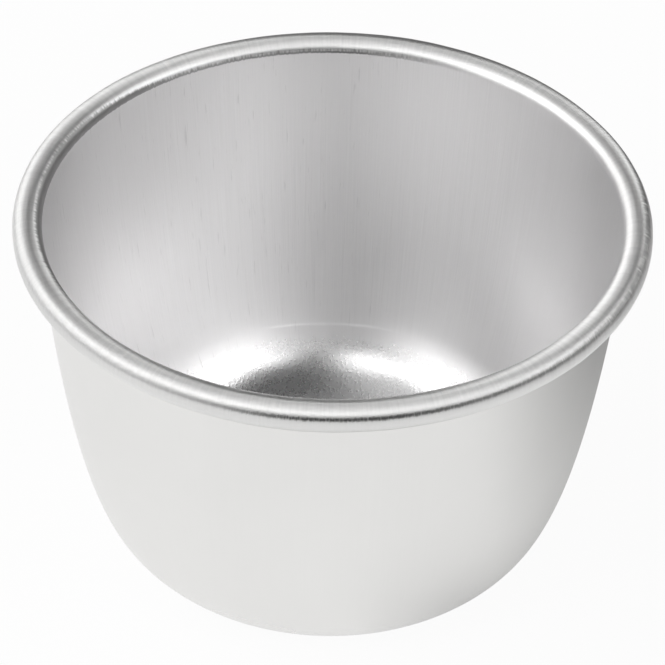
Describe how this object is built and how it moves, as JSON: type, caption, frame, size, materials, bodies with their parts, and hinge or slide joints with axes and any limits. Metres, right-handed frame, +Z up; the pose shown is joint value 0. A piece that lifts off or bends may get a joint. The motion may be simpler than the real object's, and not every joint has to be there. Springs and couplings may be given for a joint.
{
  "type": "dariole mould",
  "caption": "Small round aluminium dariole mould: a tapered, round-bottomed drawn cup with a rolled rim over a wire hoop, for baking or turning out single puddings.",
  "frame": {"origin": "middle of the flat underside, on the mould's axis", "axes": "+Z up along the mould's axis, from the base to the mouth; X and Y are alike because the mould is round"},
  "size_m": [0.08, 0.08, 0.0511],
  "materials": {
    "satin_aluminium": "satin, with fine upright drawing lines inside and turned polishing lines on the rim",
    "drawn_steel_wire": "bright drawn wire, hidden inside the rim"
  },
  "bodies": {
    "root": {"drawn_cup": "satin_aluminium", "rim_wire": "drawn_steel_wire"}
  },
  "joints": []
}
